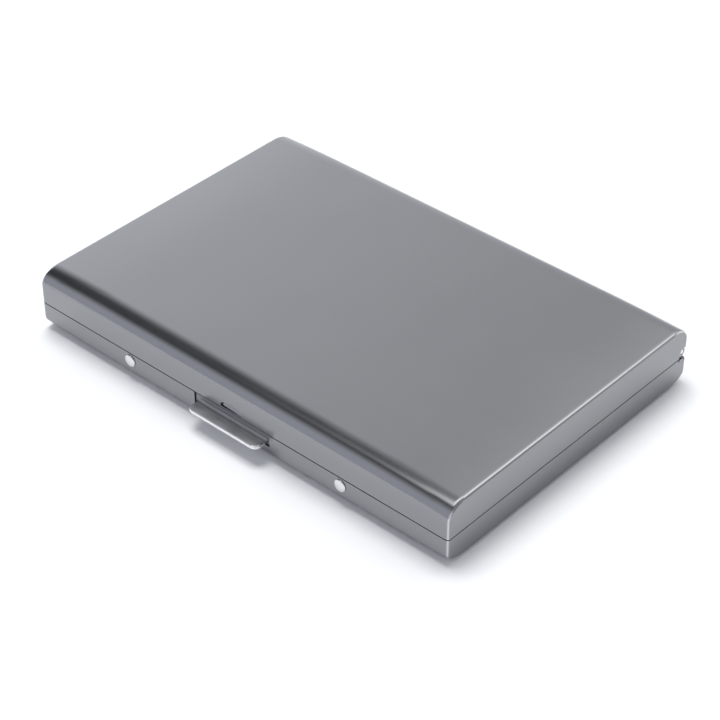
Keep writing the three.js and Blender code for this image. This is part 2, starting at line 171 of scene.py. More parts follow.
shade = studio.mix(screen, shade, SCREEN_GREY)
shade = studio.mix(side_screen, shade, SIDE_GREY)
shade = studio.mix(window, shade, WINDOW)
studio.feed(room.node_tree.nodes["Background"], {"Color": shade, "Strength": 1.0})

TABLE_WHITE = (0.93, 0.935, 0.94, 1)
TABLE_RADIUS = 1.6
TABLE_GAP = 0.00002
bm = bmesh.new()
bmesh.ops.create_circle(bm, cap_ends=True, segments=96, radius=TABLE_RADIUS)
bmesh.ops.translate(bm, vec=(0, 0, cad_box[0].z - TABLE_GAP), verts=bm.verts)
table_mesh = bpy.data.meshes.new("table_top")
bm.to_mesh(table_mesh)
bm.free()
table_top = bpy.data.objects.new("table_top", table_mesh)
bpy.context.scene.collection.objects.link(table_top)
table_paint = Finish(bpy.data.materials.new("table_white"))
table_paint.feed(table_paint.tree.nodes["Principled BSDF"], {"Base Color": TABLE_WHITE, "Roughness": 0.9})
table_mesh.materials.append(table_paint.owner)


def soft_light(name, place, aim, size, watts):
    """A square light with a wide, even spread."""
    lamp = bpy.data.lights.new(name, "AREA")
    lamp.size = size
    lamp.energy = watts
    light = bpy.data.objects.new(name, lamp)
    light.visible_glossy = False
    light.location = place
    light.rotation_euler = (Vector(place) - Vector(aim)).to_track_quat("Z", "Y").to_euler()
    bpy.context.scene.collection.objects.link(light)


soft_light("overhead", (-0.20, 0.02, 0.76), (0, 0, 0), 0.42, 3.4)

bpy.context.scene.view_settings.view_transform = "Standard"

# ---------- Base shell ----------
# The lower half of the case: one pressing of 0.5 mm stainless steel, its two long edges rolled over, its
# flat ends turned up with a tight bend. The front wall is notched for the thumb tab and pierced for rivets.

MM = 0.001
SHEET = 0.5
CONTACT = 0.05
NEAR = 1e-4
END_BEND = {"run": 0.9, "rise": 0.5}
EASED = 0.06
BASE_ROLL = {"run": 4.4, "rise": 2.4}
CUT = 1.0


def node_box(node):
    """Lowest and highest corner of a CAD node, in millimetres."""
    low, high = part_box(node)
    return low / MM, high / MM


def block(low, high):
    bm = bmesh.new()
    bmesh.ops.create_cube(bm, size=1)
    low, high = Vector(low), Vector(high)
    bmesh.ops.scale(bm, vec=high - low, verts=bm.verts)
    bmesh.ops.translate(bm, vec=(low + high) / 2, verts=bm.verts)
    return bm


def rod(radius, start, end, segments=48):
    """A round bar from start to end."""
    start, end = Vector(start), Vector(end)
    bm = bmesh.new()
    bmesh.ops.create_cone(bm, cap_ends=True, segments=segments, radius1=radius, radius2=radius,
                          depth=(end - start).length)
    turn = (end - start).to_track_quat("Z", "Y").to_matrix()
    bmesh.ops.rotate(bm, matrix=turn, verts=bm.verts)
    bmesh.ops.translate(bm, vec=(start + end) / 2, verts=bm.verts)
    return bm


def bevel(bm, edges, offset, segments):
    bmesh.ops.bevel(bm, geom=edges, offset=offset, offset_type="OFFSET", segments=segments, profile=0.5,
                    affect="EDGES", clamp_overlap=False, material=-1)


def as_object(bm, name):
    mesh = bpy.data.meshes.new(name)
    bm.to_mesh(mesh)
    bm.free()
    made = bpy.data.objects.new(name, mesh)
    bpy.context.scene.collection.objects.link(made)
    return made


def settle(piece):
    """Applies the piece's modifiers to its mesh."""
    graph = bpy.context.evaluated_depsgraph_get()
    mesh = bpy.data.meshes.new_from_object(piece.evaluated_get(graph), depsgraph=graph)
    mesh.name = piece.name
    piece.modifiers.clear()
    piece.data = mesh


def join_and_cut(piece, welds, cuts):
    """Joins some shapes to the piece, and then takes others away from it."""
    for operation, shapes in (("UNION", welds), ("DIFFERENCE", cuts)):
        for shape in shapes:
            tool = as_object(shape, "tool")
            change = piece.modifiers.new(operation.lower(), "BOOLEAN")
            change.operation = operation
            change.solver = "EXACT"
            change.use_self = True
            change.object = tool
            settle(piece)
            bpy.data.objects.remove(tool)


def make_piece(bm, name, finish, wall=0, wall_side=-1, welds=(), cuts=(), eased=EASED, steps=2):
    """The modelled shape as a finished piece: walled, joined, cut, its edges eased, in metres."""
    bmesh.ops.remove_doubles(bm, verts=bm.verts, dist=1e-5)
    bmesh.ops.recalc_face_normals(bm, faces=bm.faces)
    piece = as_object(bm, name)
    if wall:
        thicken = piece.modifiers.new("wall", "SOLIDIFY")
        thicken.thickness = wall
        thicken.offset = wall_side
        thicken.use_even_offset = True
        thicken.use_quality_normals = True
        settle(piece)
    join_and_cut(piece, welds, cuts)
    if eased:
        edge = piece.modifiers.new("eased", "BEVEL")
        edge.width = eased
        edge.segments = steps
        edge.limit_method = "ANGLE"
        edge.angle_limit = radians(35)
        edge.miter_outer = "MITER_ARC"
        settle(piece)
    piece.data.shade_smooth()
    piece.data.set_sharp_from_angle(angle=radians(40))
    normals = piece.modifiers.new("normals", "WEIGHTED_NORMAL")
    normals.keep_sharp = True
    normals.weight = 100
    settle(piece)
    piece.data.transform(Matrix.Scale(MM, 4))
    piece.data.materials.clear()
    piece.data.materials.append(finish)
    return piece


def pressed_half(low, high, roll):
    """Half a case with its closed side up and its underside open, rolled along its two long edges."""
    bm = block(low, high)
    open_side = [f for f in bm.faces if f.normal.z < -0.5]
    bmesh.ops.delete(bm, geom=open_side, context="FACES")
    squeeze = roll["run"] / roll["rise"]
    bmesh.ops.scale(bm, vec=(1, 1, squeeze), verts=bm.verts)
    top = high.z * squeeze
    rolled = [e for e in bm.edges if all(abs(v.co.z - top) < 0.01 for v in e.verts)
              and abs(e.verts[0].co.y - e.verts[1].co.y) < 0.01]
    bevel(bm, rolled, roll["run"], 22)
    bmesh.ops.scale(bm, vec=(1, 1, 1 / squeeze), verts=bm.verts)
    bm.normal_update()
    turned = [e for e in bm.edges if len(e.link_faces) == 2
              and sum(abs(f.normal.x) > 0.9 for f in e.link_faces) == 1]
    squeeze = END_BEND["rise"] / END_BEND["run"]
    bmesh.ops.scale(bm, vec=(squeeze, 1, 1), verts=bm.verts)
    bevel(bm, turned, END_BEND["rise"], 8)
    bmesh.ops.scale(bm, vec=(1 / squeeze, 1, 1), verts=bm.verts)
    for side in (-1, 1):
        for reach in END_LOOPS:
            whole = [*bm.verts, *bm.edges, *bm.faces]
            bmesh.ops.bisect_plane(bm, geom=whole, dist=1e-5,
                                   plane_co=(side * (high.x - reach), 0, 0), plane_no=(1, 0, 0))
    for vert in bm.verts:
        near_end = max(0, 1 - (high.x - abs(vert.co.x)) / END_LOOPS[-1])
        vert.co.z -= END_SINK * near_end ** 2 * (vert.co.z - low.z) / (high.z - low.z)
    return bm


def satin_gunmetal():
    """Stainless steel with a smoky coating, brushed to a fine satin. Along the end bends it is painted
    lighter: a painted highlight for the bright bend line, and coating worn to bare steel.
    """
    finish = Finish(bpy.data.materials.new("satin_gunmetal"))
    place = finish.add("ShaderNodeTexCoord", output="Object")
    lines = finish.add("ShaderNodeMapping", values={"Vector": place, "Scale": (90, 4200, 4200)})
    brushing = finish.add("ShaderNodeTexNoise", values={"Vector": lines, "Scale": 1, "Detail": 2})
    handling = finish.add("ShaderNodeTexNoise", values={"Vector": place, "Scale": 45, "Detail": 3})
    waves = finish.add("ShaderNodeTexNoise", values={"Vector": place, "Scale": 60, "Detail": 0})
    specks = finish.add("ShaderNodeTexVoronoi", {"feature": "F1"}, {"Vector": place, "Scale": 95})
    speck = 1 - finish.step(specks, 0.010, 0.018)
    apart = finish.add("ShaderNodeSeparateXYZ", values={0: place})
    out = apart.math("ABSOLUTE", apart, 0)
    # Painted highlight and wear: the base colour turns light across the end bends, for their bright line and
    # for coating rubbed through there.
    bend_highlight_and_wear = finish.step(out, BEND_START, BEND_BRIGHTEST) * (1 - finish.step(out, BEND_BRIGHTEST, BEND_OVER))
    tone = 0.5 + (brushing - 0.5) * 0.35 + (handling - 0.5) * 0.5
    steel = finish.mix(tone, (0.250, 0.256, 0.268, 1), (0.292, 0.297, 0.306, 1))
    steel = finish.mix(speck, steel, (0.55, 0.55, 0.56, 1))
    steel = finish.mix(bend_highlight_and_wear, steel, (0.56, 0.56, 0.57, 1))
    fine = finish.add("ShaderNodeBump", values={"Strength": 0.05, "Distance": 0.00002, "Height": brushing})
    dented = finish.add("ShaderNodeBump", values={
        "Strength": 0.5, "Distance": 0.0001, "Height": waves, "Normal": fine})
    finish.feed(finish.tree.nodes["Principled BSDF"], {
        "Base Color": steel,
        "Metallic": 1.0,
        "Roughness": 0.20 + (brushing - 0.5) * 0.05 + (handling - 0.5) * 0.05,
        "Normal": dented,
    })
    return finish.owner


END_LOOPS = (0.9, 1.4, 2.1, 3.1, 4.4, 6.0, 8.0, 10.5, 13.5, 17)
END_SINK = 0.38
NOTCH_HALF = 9.1
NOTCH_FOOT = 3.3
RIVET_SPACING = 51.0
RIVET_HOLE = 0.8
BARREL_CLEARANCE = 1.85

base_low, base_high = node_box("lower_shell")
lid_low, lid_high = node_box("upper_shell")
FRONT, REAR = base_low.y, base_high.y
HINGE = Vector(next(j["pos_m"] for j in frame["joints"] if j["name"] == "lid_hinge")) / MM
rivet_low, rivet_high = node_box("rivet_left")
RIVET_Z = (rivet_low.z + rivet_high.z) / 2

# Where the painted highlight along the end bends starts, is brightest and ends.
BEND_START = base_high.x * MM - END_BEND["run"] * MM * 0.55
BEND_BRIGHTEST = base_high.x * MM - END_BEND["run"] * MM * 0.2
BEND_OVER = base_high.x * MM - END_BEND["run"] * MM * 0.02
gunmetal = satin_gunmetal()
shell = pressed_half(base_low, base_high, BASE_ROLL)
bmesh.ops.scale(shell, vec=(1, 1, -1), verts=shell.verts)
bmesh.ops.translate(shell, vec=(0, 0, base_low.z + base_high.z), verts=shell.verts)
base_cuts = [
    block((-NOTCH_HALF, FRONT - CUT, NOTCH_FOOT), (NOTCH_HALF, FRONT + SHEET + CUT, base_high.z + CUT)),
    rod(BARREL_CLEARANCE, (-CASE_LENGTH / MM, HINGE.y, HINGE.z), (CASE_LENGTH / MM, HINGE.y, HINGE.z)),
]
for side in (-1, 1):
    x = side * RIVET_SPACING / 2
    base_cuts.append(rod(RIVET_HOLE, (x, FRONT - CUT, RIVET_Z), (x, FRONT + SHEET + CUT, RIVET_Z)))
base_shell = make_piece(shell, "base_shell", gunmetal, wall=SHEET, cuts=base_cuts)
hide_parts("lower_shell")
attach(base_shell, "base")

# ---------- Lid shell ----------
# The upper half, pressed from the same sheet with a taller roll. Its rear wall is cut away for the hinge,
# and a small arched tongue is lanced out of its front wall and pushed inwards, for the latch to hold.

LID_ROLL = {"run": 4.2, "rise": 3.0}
BARREL = 0.95
CHANNEL = 1.15
LEAF_ROOM = 1.3
REAR_WALL_FOOT = HINGE.z + LEAF_ROOM
TONGUE_HALF = 2.5
TONGUE_FOOT = lid_low.z + 0.3
TONGUE_HEIGHT = 1.3
TONGUE_SHOULDER = 0.45
TONGUE_SLIT = 0.1
TONGUE_TILT = radians(28)
TONGUE_TWIST = radians(3)


def tongue(slit, depth):
    """The arched outline of the tongue, its foot on z = 0, as a plate of some depth centred on y = 0."""
    half = TONGUE_HALF - slit
    arch = TONGUE_HEIGHT - TONGUE_SHOULDER - slit
    bm = bmesh.new()
    bmesh.ops.create_circle(bm, cap_ends=True, segments=64, radius=1)
    bmesh.ops.rotate(bm, matrix=Matrix.Rotation(pi / 2, 3, "X"), verts=bm.verts)
    bmesh.ops.scale(bm, vec=(half, 1, arch), verts=bm.verts)
    bmesh.ops.translate(bm, vec=(0, -depth / 2, TONGUE_SHOULDER), verts=bm.verts)
    for vert in bm.verts:
        if vert.co.z < TONGUE_SHOULDER - NEAR:
            vert.co.z = 0
    pushed = bmesh.ops.extrude_face_region(bm, geom=bm.faces[:])["geom"]
    bmesh.ops.translate(bm, vec=(0, depth, 0), verts=[v for v in pushed if isinstance(v, bmesh.types.BMVert)])
    bmesh.ops.recalc_face_normals(bm, faces=bm.faces)
    return bm


shell = pressed_half(lid_low, lid_high, LID_ROLL)
reach = CASE_LENGTH / MM
inner_end = lid_high.x - END_BEND["rise"] - 0.1
window = tongue(0, 2 * CUT + SHEET)
bmesh.ops.translate(window, vec=(0, FRONT + SHEET / 2, TONGUE_FOOT), verts=window.verts)
flap = tongue(TONGUE_SLIT, SHEET)
bmesh.ops.rotate(flap, matrix=Matrix.Rotation(-TONGUE_TILT, 3, "X"), verts=flap.verts)
bmesh.ops.rotate(flap, cent=(TONGUE_HALF, 0, 0), matrix=Matrix.Rotation(-TONGUE_TWIST, 3, "Z"),
                 verts=flap.verts)
bmesh.ops.translate(flap, vec=(0, FRONT + SHEET / 2, TONGUE_FOOT), verts=flap.verts)
lid_cuts = [
    rod(CHANNEL, (-reach, HINGE.y, HINGE.z), (reach, HINGE.y, HINGE.z)),
    block((-reach, HINGE.y - CHANNEL, 0), (reach, REAR + CUT, HINGE.z)),
    block((-inner_end, HINGE.y - CHANNEL, 0), (inner_end, REAR + CUT, REAR_WALL_FOOT)),
    window,
]
lid_shell = make_piece(shell, "lid_shell", gunmetal, wall=SHEET, cuts=lid_cuts)
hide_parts("upper_shell")
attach(lid_shell, "lid")
lid_tongue = make_piece(flap, "lid_tongue", gunmetal, eased=0.08)
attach(lid_tongue, "lid")

# ---------- Rear hinge ----------
# Two rolled leaves of plain steel, spot-welded inside the rear walls. Their knuckles alternate along a
# polished pin, whose ends show as a bright ring in each flat end of the case.

PIN = 0.55
BORE = 0.6
KNUCKLES = 9
KNUCKLE_GAP = 0.2
KNUCKLE_EASED = 0.14
LEAF_THICKNESS = 0.4
LEAF_END_GAP = 0.15


def plain_steel_strip():
    """Bare rolled strip with a faint grain and the cloudy tone of mill-finished steel."""
    finish = Finish(bpy.data.materials.new("plain_steel_strip"))
    place = finish.add("ShaderNodeTexCoord", output="Object")
    grain_way = finish.add("ShaderNodeMapping", values={"Vector": place, "Scale": (300, 6000, 6000)})
    grain = finish.add("ShaderNodeTexNoise", values={"Vector": grain_way, "Scale": 1, "Detail": 2})
    clouds = finish.add("ShaderNodeTexNoise", values={"Vector": place, "Scale": 180, "Detail": 3})
    tone = 0.5 + (grain - 0.5) * 0.6 + (clouds - 0.5) * 0.8
    bump = finish.add("ShaderNodeBump", values={"Strength": 0.1, "Distance": 0.00002, "Height": grain})
    finish.feed(finish.tree.nodes["Principled BSDF"], {
        "Base Color": finish.mix(tone, (0.36, 0.36, 0.37, 1), (0.50, 0.50, 0.51, 1)),
        "Metallic": 1.0,
        "Roughness": 0.30 + (clouds - 0.5) * 0.12,
        "Normal": bump,
    })
    return finish.owner


def polished_pin_steel():
    """Bright tumbled steel, with fine circular marks left by the heading tool."""
    finish = Finish(bpy.data.materials.new("polished_pin_steel"))
    place = finish.add("ShaderNodeTexCoord", output="Object")
    marks = finish.add("ShaderNodeTexNoise", values={"Vector": place, "Scale": 1500, "Detail": 2})
    bump = finish.add("ShaderNodeBump", values={"Strength": 0.12, "Distance": 0.00003, "Height": marks})
    finish.feed(finish.tree.nodes["Principled BSDF"], {
        "Base Color": finish.mix(marks, (0.66, 0.66, 0.67, 1), (0.80, 0.80, 0.80, 1)),
        "Metallic": 1.0,
        "Roughness": 0.16 + (marks - 0.5) * 0.1,
        "Normal": bump,
    })
    return finish.owner


def hinge_leaf(first, low, high):
    """The flat strip of one leaf, and the knuckles with their webs that are welded to it."""
    strip_end = lid_high.x - 2 * SHEET - LEAF_END_GAP
    front, rear = REAR - SHEET - CONTACT - LEAF_THICKNESS, REAR - SHEET - CONTACT
    pitch = 2 * pin_high.x / KNUCKLES
    middle = (low + high) / 2
    welds = []
    for k in range(first, KNUCKLES, 2):
        start = -pin_high.x + k * pitch + (KNUCKLE_GAP / 2 if k else 0)
        end = -pin_high.x + (k + 1) * pitch - (KNUCKLE_GAP / 2 if k < KNUCKLES - 1 else 0)
        barrel = rod(BARREL, (start, HINGE.y, HINGE.z), (end, HINGE.y, HINGE.z))
        rims = [e for e in barrel.edges if abs(e.verts[0].co.x - e.verts[1].co.x) < NEAR]
        bevel(barrel, rims, KNUCKLE_EASED, 3)
        welds.append(barrel)
        welds.append(block((max(start, -strip_end), front, min(HINGE.z, middle)),
                           (min(end, strip_end), rear, max(HINGE.z, middle))))
    strip = block((-strip_end, front, low), (strip_end, rear, high))
    bore = rod(BORE, (-reach, HINGE.y, HINGE.z), (reach, HINGE.y, HINGE.z), segments=32)
    return strip, welds, [bore]


pin_low, pin_high = node_box("hinge_pin")
plain_steel = plain_steel_strip()
polished_steel = polished_pin_steel()
for name, node, body, first in (("base_hinge_leaf", "lower_hinge_leaf", "base", 0),
                                ("lid_hinge_leaf", "upper_hinge_leaf", "lid", 1)):
    low, high = node_box(node)
    if body == "base":
        leaf_low, leaf_high = low.z, HINGE.z - LEAF_ROOM
    else:
        leaf_low, leaf_high = HINGE.z + LEAF_ROOM, high.z
    strip, welds, bore = hinge_leaf(first, leaf_low, leaf_high)
    leaf = make_piece(strip, name, plain_steel, welds=welds, cuts=bore, eased=0)
    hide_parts(node)
    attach(leaf, body)

pin = rod(PIN, (pin_low.x, HINGE.y, HINGE.z), (pin_high.x, HINGE.y, HINGE.z))
hinge_wire = make_piece(pin, "hinge_wire", polished_steel, eased=0.2, steps=4)
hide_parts("hinge_pin")
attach(hinge_wire, "base")

# ---------- Front rivets ----------
# Two bright semi-tubular rivets. Each has a low domed head outside the front wall and a tail upset over
# the spring strip inside.

HEAD = {"radius": 1.25, "proud": 0.45, "rim": 0.10, "flat": 0.25}
SHANK_RADIUS = 0.75
TAIL_RADIUS = 1.1
TAIL = {"length": 0.4, "eased": 0.15}
DOME_STEPS = 6
STRIP_THICKNESS = 0.4
GRIP = SHEET + CONTACT + STRIP_THICKNESS


def turned(profile, place, steps=48):
    """A closed round piece: (radius, how far out of the wall) points, spun about a line along Y."""
    bm = bmesh.new()
    points = [bm.verts.new((radius, -out, 0)) for radius, out in profile]
    for first, second in zip(points, points[1:]):
        bm.edges.new((first, second))
    bmesh.ops.spin(bm, geom=[*bm.verts, *bm.edges], cent=(0, 0, 0), axis=(0, 1, 0), angle=tau,
                   steps=steps, use_merge=True)
    bmesh.ops.translate(bm, vec=place, verts=bm.verts)
    return bm


for side, name, node in ((-1, "left_rivet", "rivet_left"), (1, "right_rivet", "rivet_right")):
    turns = [step / DOME_STEPS * pi / 2 for step in range(DOME_STEPS + 1)]
    dome = [(HEAD["flat"] + (HEAD["radius"] - HEAD["flat"]) * cos(turn),
             HEAD["rim"] + (HEAD["proud"] - HEAD["rim"]) * sin(turn)) for turn in turns]
    tail_foot = -GRIP - CONTACT
    tail_end = tail_foot - TAIL["length"]
    profile = [(0, tail_end), (TAIL_RADIUS - TAIL["eased"], tail_end),
               (TAIL_RADIUS, tail_end + TAIL["eased"]), (TAIL_RADIUS, tail_foot),
               (SHANK_RADIUS, tail_foot), (SHANK_RADIUS, CONTACT),
               (HEAD["radius"], CONTACT), *dome, (0, HEAD["proud"])]
    rivet = make_piece(turned(profile, (side * RIVET_SPACING / 2, FRONT, RIVET_Z)), name,
                       polished_steel, eased=0)
    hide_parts(node)
    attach(rivet, "base")

# ---------- Spring strip ----------
# A strip of spring steel riveted behind the front wall. It is cut away round the thumb tab, and its two ears
# hold the pin that the tab turns on.

STRIP_BACK = FRONT + GRIP
BRIDGE_TOP = 3.2
EAR = 0.4
LATCH = Vector(next(j["pos_m"] for j in frame["joints"] if j["name"] == "latch_pivot")) / MM
LATCH_BARREL = 0.9
LATCH_PIN = 0.45
LATCH_BORE = 0.5

strip_low, strip_high = node_box("latch_strip")
strip = block((strip_low.x, STRIP_BACK - STRIP_THICKNESS, strip_low.z),
              (strip_high.x, STRIP_BACK, strip_high.z))
ears = []
for side in (-1, 1):
    inner, outer = sorted((side * NOTCH_HALF, side * (NOTCH_HALF + EAR)))
    ears.append(block((inner, STRIP_BACK - STRIP_THICKNESS / 2, LATCH.z - LATCH_BARREL),
                      (outer, LATCH.y + LATCH_BARREL, strip_high.z)))
strip_cuts = [
    block((-NOTCH_HALF, FRONT, BRIDGE_TOP), (NOTCH_HALF, STRIP_BACK + CUT, strip_high.z + CUT)),
    rod(LATCH_BORE, (-reach, LATCH.y, LATCH.z), (reach, LATCH.y, LATCH.z), segments=32),
]
for side in (-1, 1):
    x = side * RIVET_SPACING / 2
    strip_cuts.append(rod(RIVET_HOLE, (x, FRONT, RIVET_Z), (x, STRIP_BACK + CUT, RIVET_Z)))
spring_strip = make_piece(strip, "spring_strip", plain_steel, welds=ears, cuts=strip_cuts,
                          eased=0.05)
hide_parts("latch_strip")
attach(spring_strip, "base")

# ---------- Thumb tab ----------
# The part that the thumb lifts: a thick little plate of bare steel with a full round rim. At its root it is
# bent up into a face that closes the notch; behind, a web and a barrel go round the latch pin.

TAB_THICKNESS = 0.8
TAB_CORNER = 1.5
TAB_RIM = 0.36
TAB_TAPER = 0.03
TAB_LOOPS = 6
TAB_LOOP_SHARE = 0.15
FACE_BEND = 0.55
FACE_SET_BACK = 0.25
FACE_THICKNESS = 0.5
FACE_DROP = 0.3
FACE_PLAY = 0.1
FACE_INSIDE = 0.01
FACE_EASED = 0.1
TAB_LEFT, TAB_RIGHT = -8.6, 8.4
WEB_GAP = 0.15
LEVER_FRONT = STRIP_BACK + WEB_GAP
LEVER_WEB = 0.5
BARREL_HALF = 4.5

tab_low, tab_high = node_box("latch_lever")
tab_top = tab_low.z + TAB_THICKNESS
face_front = FRONT + FACE_SET_BACK


def worn_tab_steel_rim_glint_face_shade():
    """Bare satin steel, worn lighter by the thumb, with a painted highlight along its rounded rim and painted
    shade on all of it behind the front wall.
    """
    finish = Finish(bpy.data.materials.new("worn_tab_steel_rim_glint_face_shade"))
    place = finish.add("ShaderNodeTexCoord", output="Object")
    lines = finish.add("ShaderNodeMapping", values={"Vector": place, "Scale": (260, 3800, 3800)})
    brushing = finish.add("ShaderNodeTexNoise", values={"Vector": lines, "Scale": 1, "Detail": 3})
    patches = finish.add("ShaderNodeTexNoise", values={"Vector": place, "Scale": 420, "Detail": 3})
    apart = finish.add("ShaderNodeSeparateXYZ", values={0: place})
    across, outwards = (Field(finish, apart.socket.node.outputs[axis]) for axis in "XY")
    right = finish.step(across, (TAB_RIGHT - 0.6) * MM, (TAB_RIGHT - 0.15) * MM)
    left = 1 - finish.step(across, (TAB_LEFT + 0.15) * MM, (TAB_LEFT + 0.6) * MM)
    front = 1 - finish.step(outwards, (tab_low.y + 0.15) * MM, (tab_low.y + 0.6) * MM)
    in_front = 1 - finish.step(outwards, (FRONT - 0.5) * MM, (FRONT - 0.1) * MM)
    # Painted highlight: the rounded rim gets a lighter base colour and a smoother surface.
    rim = right.math("MAXIMUM", right.math("MAXIMUM", right, left), front) * in_front
    tone = 0.5 + (brushing - 0.5) * 0.7 + (patches - 0.5) * 0.8
    plate = finish.mix(tone, (0.60, 0.605, 0.615, 1), (0.82, 0.825, 0.83, 1))
    # Painted shade: behind the front wall, on the face standing in the notch and on the web and barrel, the
    # steel is painted dark, as in the recess's shade.
    plate = finish.mix(in_front, (0.25, 0.255, 0.265, 1), plate)
    bump = finish.add("ShaderNodeBump", values={"Strength": 0.15, "Distance": 0.00003, "Height": brushing})
    finish.feed(finish.tree.nodes["Principled BSDF"], {
        "Base Color": finish.mix(rim, plate, (0.86, 0.86, 0.87, 1)),
        "Metallic": 1.0,
        "Roughness": 0.42 + (patches - 0.5) * 0.12 - rim * 0.16,
        "Normal": bump,
    })
    return finish.owner


def along_x(edge, y, z):
    return all(abs(v.co.y - y) < NEAR and abs(v.co.z - z) < NEAR for v in edge.verts)


lever = block((TAB_LEFT, tab_low.y, tab_low.z), (TAB_RIGHT, face_front + FACE_THICKNESS, tab_top))
bmesh.ops.bisect_plane(lever, geom=[*lever.verts, *lever.edges, *lever.faces], dist=1e-5,
                       plane_co=(0, face_front, 0), plane_no=(0, 1, 0))
lever.normal_update()
root = [f for f in lever.faces if f.normal.z > 0.9 and f.calc_center_median().y > face_front]
raised = bmesh.ops.extrude_face_region(lever, geom=root)["geom"]
bmesh.ops.delete(lever, geom=root, context="FACES_ONLY")
bmesh.ops.translate(lever, vec=(0, 0, base_high.z - FACE_DROP - tab_top),
                    verts=[v for v in raised if isinstance(v, bmesh.types.BMVert)])
bevel(lever, [e for e in lever.edges if along_x(e, face_front, tab_top)], FACE_BEND, 8)
corners = [e for e in lever.edges if all(abs(v.co.y - tab_low.y) < NEAR for v in e.verts)
           and abs(e.verts[0].co.z - e.verts[1].co.z) > 0.1]
bevel(lever, corners, TAB_CORNER, 12)
lever.normal_update()
outline = [e for e in lever.edges if e.is_convex and e.calc_face_angle(0) > radians(50)
           and not all(v.co.y > face_front + FACE_THICKNESS - NEAR for v in e.verts)]
bevel(lever, outline, TAB_RIM, 7)
for loop in range(1, TAB_LOOPS + 1):
    loop_y = tab_low.y + loop * TAB_LOOP_SHARE * (FRONT - tab_low.y)
    bmesh.ops.bisect_plane(lever, geom=[*lever.verts, *lever.edges, *lever.faces], dist=1e-5,
                           plane_co=(0, loop_y, 0), plane_no=(0, 1, 0))
for vert in lever.verts:
    outwards = min(1, max(0, (FRONT - vert.co.y) / (FRONT - tab_low.y)))
    vert.co.z = tab_low.z + (vert.co.z - tab_low.z) * (1 - TAB_TAPER * outwards ** 2)
face_half = NOTCH_HALF - FACE_PLAY
face_plate = block((-face_half, face_front + FACE_INSIDE, tab_low.z + FACE_INSIDE),
                   (face_half, face_front + FACE_THICKNESS, base_high.z - FACE_DROP - FACE_INSIDE))
bevel(face_plate, face_plate.edges[:], FACE_EASED, 3)
lever_parts = [
    face_plate,
    block((-BARREL_HALF, LEVER_FRONT, tab_top - TAB_THICKNESS / 2),
          (BARREL_HALF, LEVER_FRONT + LEVER_WEB, tab_high.z)),
    block((-BARREL_HALF, face_front + FACE_THICKNESS / 2, tab_low.z),
          (BARREL_HALF, LEVER_FRONT + LEVER_WEB, tab_top)),
    rod(LATCH_BARREL, (-BARREL_HALF, LATCH.y, LATCH.z), (BARREL_HALF, LATCH.y, LATCH.z), segments=40),
]
lever_bore = rod(LATCH_BORE, (-reach, LATCH.y, LATCH.z), (reach, LATCH.y, LATCH.z), segments=32)
thumb_tab = make_piece(lever, "thumb_tab", worn_tab_steel_rim_glint_face_shade(), welds=lever_parts,
                       cuts=[lever_bore], eased=0)
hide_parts("latch_lever")
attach(thumb_tab, "latch")

# ---------- Latch hook, pin and spring ----------
# Behind the tab a bent spring finger reaches up to hold the lid's tongue. The tab turns on a short pin,
# and a small wire spring wound round that pin presses it back down.

hook_low, hook_high = node_box("latch_hook")
FINGER = 0.3
finger = block((hook_low.x, hook_high.y - FINGER, hook_low.z), hook_high)
nose = block((hook_low.x, hook_low.y, hook_high.z - FINGER),
             (hook_high.x, hook_high.y - FINGER / 2, hook_high.z))
tip = [e for e in nose.edges if all(abs(v.co.y - hook_low.y) < NEAR and abs(v.co.z - hook_high.z) < NEAR
                                    for v in e.verts)]
bevel(nose, tip, FINGER * 0.45, 4)
spring_hook = make_piece(finger, "spring_hook", plain_steel, welds=[nose], eased=0.05)
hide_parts("latch_hook")
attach(spring_hook, "latch")

latch_pin_low, latch_pin_high = node_box("latch_pin")
pivot = rod(LATCH_PIN, (latch_pin_low.x, LATCH.y, LATCH.z), (latch_pin_high.x, LATCH.y, LATCH.z), segments=32)
tab_pin = make_piece(pivot, "tab_pin", polished_steel, eased=0.12, steps=3)
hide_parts("latch_pin")
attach(tab_pin, "base")

WIRE = 0.26
COIL_RADIUS = LATCH_PIN + 0.12 + WIRE / 2
COIL_TURNS = 3
COIL_STEPS = 20
spring_low, spring_high = node_box("latch_spring")
coil_start = spring_low.x + WIRE / 2
leg_down = Vector((coil_start, STRIP_BACK + WIRE, (strip_low.z + BRIDGE_TOP) / 2))
leg_up = Vector((spring_high.x - WIRE / 2, LEVER_FRONT - WIRE / 2, tab_top + WIRE))
bm = bmesh.new()
bmesh.ops.create_circle(bm, segments=10, radius=WIRE / 2)
bmesh.ops.translate(bm, vec=(coil_start, LATCH.y - COIL_RADIUS, LATCH.z), verts=bm.verts)
first_ring = bm.edges[:]
steps = round(COIL_TURNS * COIL_STEPS)
advance = (leg_up.x - coil_start) / steps
coil = bmesh.ops.spin(bm, geom=[*bm.verts, *bm.edges], cent=(0, LATCH.y, LATCH.z), axis=(-1, 0, 0),
                      angle=COIL_TURNS * tau, steps=steps, dvec=(advance, 0, 0))
last_ring = [e for e in coil["geom_last"] if isinstance(e, bmesh.types.BMEdge)]
for ring, leg in ((first_ring, leg_down), (last_ring, leg_up)):
    leg_geom = bmesh.ops.extrude_edge_only(bm, edges=ring)["geom"]
    ends = [v for v in leg_geom if isinstance(v, bmesh.types.BMVert)]
    middle = sum((v.co for v in ends), Vector()) / len(ends)
    bmesh.ops.translate(bm, vec=leg - middle, verts=ends)
    bmesh.ops.contextual_create(bm, geom=[e for e in bm.edges if all(v in ends for v in e.verts)])
tab_spring = make_piece(bm, "tab_spring", plain_steel, eased=0)
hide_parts("latch_spring")
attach(tab_spring, "base")

# ---------- Pocket boards ----------
# Seven stiff boards of black grained plastic sheet: one glued into each shell and five dividers between
# them, with a thumb cut-out in the front edge of each divider.

BOARD_CORNER = 3.0
THUMB_RADIUS = 8.0
POCKETS = 6


